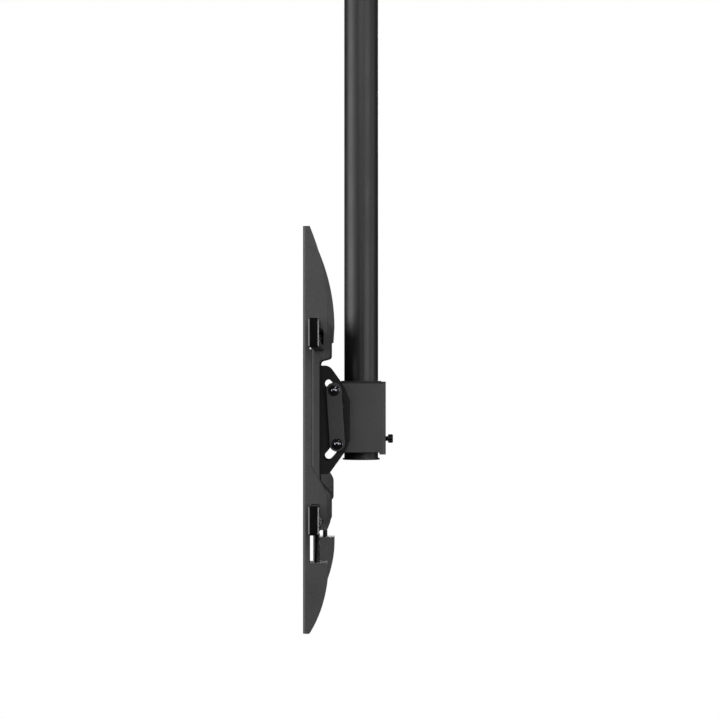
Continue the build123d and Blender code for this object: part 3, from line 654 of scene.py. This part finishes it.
# The bolt lies along X, below the plate
cross_bolt_z = -0.027
along_x = Matrix(((0, 0, 1, 0), (1, 0, 0, 0), (0, 1, 0, 0), (0, 0, 0, 1)))
cross_bolt_place = Matrix.Translation((0, 0, cross_bolt_z)) @ along_x
threaded_screw(
    "collar_cross_bolt",
    "pole_bolt",
    "ceiling",
    [
        (2.8, -31.6, "round"),
        (3.4, -31.0, "round"),
        (3.4, -19.6, "round"),
        (4.0, -19.2, "round"),
        (4.0, 23.0, "round"),
        (6.5, 23.0, "hexagon"),
        (6.5, 27.7, "hexagon"),
        (5.9, 28.3, "hexagon"),
    ],
    {
        "Thread Radius": 4.0,
        "Thread Depth": 0.6,
        "Pitch": 1.25,
        "Turns": 8.6,
        "Thread Start": -30.6,
        "Knurls": 0,
    },
    cross_bolt_place,
    bolt_black,
)
finish_node("pole_nut", bolt_black, edge_mm=0.15)


# Carrier ring and its pin
# A turned steel ring, pinned across the pole, on which the box hangs and turns. Both are zinc
# plated and passivated, which gives a pale grey shine with a faint blue cloud.
def zinc_plated_steel(name, code, cloud_code, roughness, cloud_mm):
    material = bpy.data.materials.new(name)
    material.use_nodes = True
    tree = material.node_tree
    shader = tree.nodes["Principled BSDF"]
    place = add_node(tree, "ShaderNodeTexCoord").outputs["Object"]
    clouds = add_node(
        tree,
        "ShaderNodeTexNoise",
        values={"Scale": 1000.0 / cloud_mm, "Detail": 4.0, "Roughness": 0.6},
        links={"Vector": place},
    )
    tint = add_node(tree, "ShaderNodeValToRGB", links={"Fac": clouds.outputs["Fac"]})
    tint.color_ramp.elements[0].position = 0.35
    tint.color_ramp.elements[0].color = hex_colour(cloud_code)
    tint.color_ramp.elements[1].position = 0.65
    tint.color_ramp.elements[1].color = hex_colour(code)
    gloss = add_node(
        tree,
        "ShaderNodeMapRange",
        values={"From Min": 0.3, "From Max": 0.7, "To Min": roughness + 0.08, "To Max": roughness - 0.05},
        links={"Value": clouds.outputs["Fac"]},
    )
    tree.links.new(tint.outputs["Color"], shader.inputs["Base Color"])
    tree.links.new(gloss.outputs["Result"], shader.inputs["Roughness"])
    shader.inputs["Metallic"].default_value = 1.0
    return material


zinc = zinc_plated_steel("zinc_plated_steel_passivated", "b9bcc0", "a4a9b2", roughness=0.36, cloud_mm=5.0)
finish_node("carrier_ring", zinc, edge_mm=0.15)
finish_node("ring_pin", zinc, edge_mm=0.1)


# End cap of the pole
# A plug with a rim, injection moulded in black polypropylene. The mould's spark-eroded face gives
# it a fine grain and a soft, slightly greasy shine.
def moulded_plastic(name, code, roughness, grain_mm):
    material = bpy.data.materials.new(name)
    material.use_nodes = True
    tree = material.node_tree
    shader = tree.nodes["Principled BSDF"]
    place = add_node(tree, "ShaderNodeTexCoord").outputs["Object"]
    grain = add_node(
        tree,
        "ShaderNodeTexVoronoi",
        values={"Scale": 1000.0 / grain_mm},
        links={"Vector": place},
    )
    # Soft marks where the melt flowed
    flow_mm = 15.0
    flow = add_node(
        tree,
        "ShaderNodeTexNoise",
        values={"Scale": 1000.0 / flow_mm, "Detail": 2.0},
        links={"Vector": place},
    )
    tint = add_node(tree, "ShaderNodeValToRGB", links={"Fac": flow.outputs["Fac"]})
    base = hex_colour(code)
    dull_tone, clear_tone = 0.8, 1.2
    tint.color_ramp.elements[0].position = 0.3
    tint.color_ramp.elements[0].color = tuple(channel * dull_tone for channel in base[:3]) + (1.0,)
    tint.color_ramp.elements[1].position = 0.7
    tint.color_ramp.elements[1].color = tuple(channel * clear_tone for channel in base[:3]) + (1.0,)
    gloss = add_node(
        tree,
        "ShaderNodeMapRange",
        values={"From Min": 0.3, "From Max": 0.7, "To Min": roughness - 0.05, "To Max": roughness + 0.05},
        links={"Value": flow.outputs["Fac"]},
    )
    dimples = add_node(
        tree,
        "ShaderNodeBump",
        values={"Strength": 0.3, "Distance": 0.00004},
        links={"Height": grain.outputs["Distance"]},
    )
    tree.links.new(tint.outputs["Color"], shader.inputs["Base Color"])
    tree.links.new(gloss.outputs["Result"], shader.inputs["Roughness"])
    tree.links.new(dimples.outputs["Normal"], shader.inputs["Normal"])
    shader.inputs["IOR"].default_value = 1.49
    return material


end_cap_plastic = moulded_plastic("moulded_polypropylene_grained", "161617", roughness=0.4, grain_mm=0.7)
finish_node("end_cap", end_cap_plastic, edge_mm=0.3)


# Swivel box
# One sheet of 2.5 mm steel folded round the pole, with a lid and a floor welded in, powder coated
# as one, matt and fine grained. The lid and the floor get a nearly black coat, which is painted
# shade for the dark top of the box.
box_coat = powder_coat("box_powder_coat_matt", "3c3c3d", roughness=0.6, peel_mm=0.7, peel_depth_mm=0.05)
finish_node("swivel_box", box_coat, edge_mm=0.25)
# The nearly black colour of the lid and the floor is painted shade
lid_and_floor_painted_shade_coat = powder_coat(
    "lid_powder_coat_painted_shade", "0c0c0d", roughness=0.5, peel_mm=0.7, peel_depth_mm=0.05
)
finish_node("box_lid", lid_and_floor_painted_shade_coat, edge_mm=0.25)
finish_node("box_floor", lid_and_floor_painted_shade_coat, edge_mm=0.25)
# One seam along each side wall, seen from below
seam_half_x = 0.0295
seam_front = -0.0200
seam_rear = 0.0180
seam_z = -0.5648
floor_seams = []
for seam_x in (-seam_half_x, seam_half_x):
    floor_seams.append(([(seam_x, seam_front, seam_z), (seam_x, seam_rear, seam_z)], False))
weld_bead(
    "box_floor_welds",
    floor_seams,
    spacing=0.0012,
    size=(0.0016, 0.0016, 0.0022),
    coat=box_coat,
    body="head",
)


# Bushings and friction washers
# Turned from black nylon 6, they let the box turn on the pole and brake the tilt. Nylon is matt
# with a faint waxy sheen.
nylon = moulded_plastic("turned_black_nylon", "1d1d1e", roughness=0.48, grain_mm=0.5)
finish_node("upper_bushing", nylon, edge_mm=0.15)
finish_node("lower_bushing", nylon, edge_mm=0.15)
finish_node("friction_washers", nylon, edge_mm=0.15)


# Lock screw and its weld nut
# A black M6 cap screw with a knurled head goes through a nut welded inside the rear wall and
# presses on the pole. The pitch is 1 mm.
socket_black = black_oxide_steel("black_oxide_screw_steel", "303032", roughness=0.36, stain_mm=3.0)
# The screw lies along Y, with its tip towards the pole
lock_screw_z = -0.5502
along_y = Matrix(((1, 0, 0, 0), (0, 0, 1, 0), (0, -1, 0, 0), (0, 0, 0, 1)))
lock_screw_place = Matrix.Translation((0, 0, lock_screw_z)) @ along_y
threaded_screw(
    "lock_screw_knurled",
    "lock_screw",
    "lock",
    [
        (2.1, 19.5, "round"),
        (2.6, 20.0, "round"),
        (2.6, 29.8, "round"),
        (3.0, 30.0, "round"),
        (4.65, 30.0, "round"),
        (4.65, 35.0, "round"),
        (4.3, 35.5, "round"),
        # The socket for the key
        (2.5, 35.5, "hexagon"),
        (2.5, 32.75, "hexagon"),
    ],
    {
        "Thread Radius": 3.0,
        "Thread Depth": 0.4,
        "Pitch": 1.0,
        "Turns": 9.5,
        "Thread Start": 20.2,
        "Head Radius": 4.65,
        "Knurls": 44,
        "Knurl Width": 0.34,
        "Knurl Height": 4.2,
        "Knurl Middle": 32.6,
    },
    lock_screw_place,
    socket_black,
)
finish_node("lock_nut", zinc, edge_mm=0.15)


# Link bars
# Two flat bars with round ends, punched from 3.5 mm steel and powder coated, tie the tilt pins of
# each side together. They are a little smoother than the folded pieces, and their edges are crisp.
bar_coat = powder_coat("bar_powder_coat_satin", "303031", roughness=0.52, peel_mm=0.7, peel_depth_mm=0.04)
finish_node("link_bar_right", bar_coat, edge_mm=0)
finish_node("link_bar_left", bar_coat, edge_mm=0)


# Tilt bolts and nuts
# M8 bolts with a flange and a domed head, black nickel plated, and lock nuts inside the box. The
# plating mirrors the lights in two crescents on the dome, and the flat flange stays black.
def plated_bolt_steel(name, code, roughness, mist_mm):
    material = bpy.data.materials.new(name)
    material.use_nodes = True
    tree = material.node_tree
    shader = tree.nodes["Principled BSDF"]
    place = add_node(tree, "ShaderNodeTexCoord").outputs["Object"]
    mist = add_node(
        tree,
        "ShaderNodeTexNoise",
        values={"Scale": 1000.0 / mist_mm, "Detail": 2.0, "Roughness": 0.5},
        links={"Vector": place},
    )
    tint = add_node(tree, "ShaderNodeValToRGB", links={"Fac": mist.outputs["Fac"]})
    base = hex_colour(code)
    mist_tone = 0.85
    tint.color_ramp.elements[0].position = 0.3
    tint.color_ramp.elements[0].color = tuple(channel * mist_tone for channel in base[:3]) + (1.0,)
    tint.color_ramp.elements[1].position = 0.7
    tint.color_ramp.elements[1].color = base
    gloss = add_node(
        tree,
        "ShaderNodeMapRange",
        values={"From Min": 0.3, "From Max": 0.7, "To Min": roughness - 0.03, "To Max": roughness + 0.04},
        links={"Value": mist.outputs["Fac"]},
    )
    tree.links.new(tint.outputs["Color"], shader.inputs["Base Color"])
    tree.links.new(gloss.outputs["Result"], shader.inputs["Roughness"])
    shader.inputs["Metallic"].default_value = 1.0
    return material


# A bolt along X set on two pins of one side, and mirrored to the other side
pin_tree = bpy.data.node_groups.new("bolts_on_pins", "GeometryNodeTree")
pin_tree.interface.new_socket("Geometry", in_out="INPUT", socket_type="NodeSocketGeometry")
pin_tree.interface.new_socket("Upper Pin", in_out="INPUT", socket_type="NodeSocketVector")
pin_tree.interface.new_socket("Lower Pin", in_out="INPUT", socket_type="NodeSocketVector")
pin_tree.interface.new_socket("Steel", in_out="INPUT", socket_type="NodeSocketMaterial")
pin_tree.interface.new_socket("Geometry", in_out="OUTPUT", socket_type="NodeSocketGeometry")
pin_in = add_node(pin_tree, "NodeGroupInput")
pin_line = add_node(
    pin_tree,
    "GeometryNodeMeshLine",
    {"mode": "END_POINTS"},
    {"Count": 2},
    {"Start Location": pin_in.outputs["Upper Pin"], "Offset": pin_in.outputs["Lower Pin"]},
)
pin_set = add_node(
    pin_tree,
    "GeometryNodeInstanceOnPoints",
    links={"Points": pin_line.outputs["Mesh"], "Instance": pin_in.outputs["Geometry"]},
)
pin_right = add_node(
    pin_tree,
    "GeometryNodeRealizeInstances",
    links={"Geometry": pin_set.outputs["Instances"]},
)
pin_mirrored = add_node(
    pin_tree,
    "GeometryNodeTransform",
    values={"Scale": (-1.0, 1.0, 1.0)},
    links={"Geometry": pin_right.outputs["Geometry"]},
)
pin_left = add_node(pin_tree, "GeometryNodeFlipFaces", links={"Mesh": pin_mirrored.outputs["Geometry"]})
pin_both = add_node(
    pin_tree,
    "GeometryNodeJoinGeometry",
    links={"Geometry": pin_right.outputs["Geometry"]},
)
pin_tree.links.new(pin_left.outputs["Mesh"], pin_both.inputs["Geometry"])
pin_real = add_node(
    pin_tree,
    "GeometryNodeRealizeInstances",
    links={"Geometry": pin_both.outputs["Geometry"]},
)
pin_steel = add_node(
    pin_tree,
    "GeometryNodeSetMaterial",
    links={"Geometry": pin_real.outputs["Geometry"], "Material": pin_in.outputs["Steel"]},
)
add_node(pin_tree, "NodeGroupOutput", links={0: pin_steel.outputs["Geometry"]})

# Shank, flange and dome of one bolt, in millimetres
dome_r = 5.0
dome_top = 44.3
dome_rim_angle = 69
dome_step_angle = 6.8
dome_steps = 11
bolt_profile = [
    (3.4, 22.1, "round"),
    (4.0, 22.7, "round"),
    (4.0, 39.9, "round"),
    (5.9, 39.9, "round"),
    (6.2, 40.2, "round"),
    (6.2, 40.7, "round"),
    (5.9, 41.0, "round"),
]
for dome_step in range(dome_steps):
    dome_angle = math.radians(dome_rim_angle - dome_step_angle * dome_step)
    dome_height = dome_top - dome_r + dome_r * math.cos(dome_angle)
    bolt_profile.append((dome_r * math.sin(dome_angle), dome_height, "round"))
bolt_blank = turned_blank("tilt_bolt_blank", bolt_profile)
bolt_blank.transform(along_x)
# The heads of the solids reach this far from their pins
bolt_reach = 0.0068
tilt_low, tilt_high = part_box("tilt_bolts")
tilt_pins = {
    "Upper Pin": (0, tilt_low[1] + bolt_reach, tilt_high[2] - bolt_reach),
    "Lower Pin": (0, tilt_high[1] - bolt_reach, tilt_low[2] + bolt_reach),
    "Steel": plated_bolt_steel("black_nickel_plated_steel", "74747a", roughness=0.15, mist_mm=6.0),
}
domed_bolts = made_by_nodes("domed_tilt_bolts", bolt_blank, pin_tree, tilt_pins, Matrix())
domed_rounds = domed_bolts.modifiers.new("smooth_rounds", "NODES")
domed_rounds.node_group = smooth_rounds
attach(domed_bolts, "head")
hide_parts("tilt_bolts")
finish_node("tilt_nuts", zinc, edge_mm=0.15)


# Tilt bracket
# A folded channel of 3 mm steel. Its ears carry the arc slots, cut by laser. Its nearly black
# coat is painted shade for the ears, which sit deep between the frame's flanges and the link bars.
# The nearly black colour is painted shade on the ears and round the slots
bracket_painted_shade_coat = powder_coat(
    "bracket_powder_coat_painted_shade", "080809", roughness=0.82, peel_mm=0.7, peel_depth_mm=0.05
)
finish_node("tilt_bracket", bracket_painted_shade_coat, edge_mm=0.3)


# Centre frame and its screws
# A folded channel of 3 mm steel with windows for the rails, powder coated, joined to the tilt
# bracket by four M6 button screws and plated nuts.
frame_coat = powder_coat("frame_powder_coat_matt", "3f3f40", roughness=0.74, peel_mm=0.7, peel_depth_mm=0.05)
finish_node("centre_frame", frame_coat, edge_mm=0.25)
button_black = black_oxide_steel("black_oxide_small_button_steel", "343436", roughness=0.3, stain_mm=3.0)
finish_node("frame_screws", button_black, edge_mm=0.1)
finish_node("frame_nuts", zinc, edge_mm=0.12)


# Rails, their screws and caps
# Lipped channels, roll formed from 1.5 mm steel strip, powder coated in a darker satin black and
# screwed to the centre frame. Grained polypropylene caps close their ends.
rail_coat = powder_coat("rail_powder_coat_satin", "242425", roughness=0.48, peel_mm=0.6, peel_depth_mm=0.03)
finish_node("upper_rail", rail_coat, edge_mm=0.25)
finish_node("lower_rail", rail_coat, edge_mm=0.25)
finish_node("rail_screws", button_black, edge_mm=0.1)
finish_node("rail_nuts", zinc, edge_mm=0.12)
rail_cap_plastic = moulded_plastic("moulded_cap_polypropylene", "0d0d0e", roughness=0.15, grain_mm=0.7)
finish_node("rail_end_caps", rail_cap_plastic, edge_mm=0.25)


# Hooked uprights
# Channels of 2 mm steel, cut by laser, folded and powder coated, with a tab welded between their
# webs. They hang on the rails and carry the screen, so they show most of the matt grey sheen.
arm_coat = powder_coat("upright_powder_coat_matt", "3e3e3f", roughness=0.55, peel_mm=0.8, peel_depth_mm=0.06)
arm_x = 0.2
# The tab is welded to both webs from below
tab_half_x = 0.0129
tab_front = -0.0510
tab_rear = -0.0350
tab_z = -0.6758
for side, middle_x in (("right", arm_x), ("left", -arm_x)):
    finish_node("arm_" + side, arm_coat, edge_mm=0.2)
    tab_seams = []
    for tab_x in (middle_x - tab_half_x, middle_x + tab_half_x):
        tab_seams.append(([(tab_x, tab_front, tab_z), (tab_x, tab_rear, tab_z)], False))
    weld_bead(
        "tab_welds_" + side,
        tab_seams,
        spacing=0.0013,
        size=(0.0022, 0.0022, 0.0024),
        coat=arm_coat,
        body=side + "_upright",
    )


# Safety screws
# A black M6 cap screw with a knurled head goes up through the tab of each upright. Its tip stands
# under the lower rail, so the upright can't be lifted off.
safety_y = -0.0444
# Turned over, so that the head hangs below the tab
head_down = Matrix(((1, 0, 0, 0), (0, -1, 0, 0), (0, 0, -1, 0), (0, 0, 0, 1)))
for side, middle_x in (("right", arm_x), ("left", -arm_x)):
    threaded_screw(
        "safety_screw_knurled_" + side,
        "safety_screw_" + side,
        side + "_safety",
        [
            (2.1, 642.8, "round"),
            (2.6, 643.3, "round"),
            (2.6, 678.5, "round"),
            (3.0, 678.7, "round"),
            (4.75, 678.7, "round"),
            (4.75, 684.2, "round"),
            (4.3, 684.7, "round"),
            # The socket for the key
            (2.5, 684.7, "hexagon"),
            (2.5, 681.7, "hexagon"),
        ],
        {
            "Thread Radius": 3.0,
            "Thread Depth": 0.4,
            "Pitch": 1.0,
            "Turns": 34.5,
            "Thread Start": 643.6,
            "Head Radius": 4.75,
            "Knurls": 46,
            "Knurl Width": 0.34,
            "Knurl Height": 4.8,
            "Knurl Middle": 681.5,
        },
        Matrix.Translation((middle_x, safety_y, 0)) @ head_down,
        socket_black,
    )
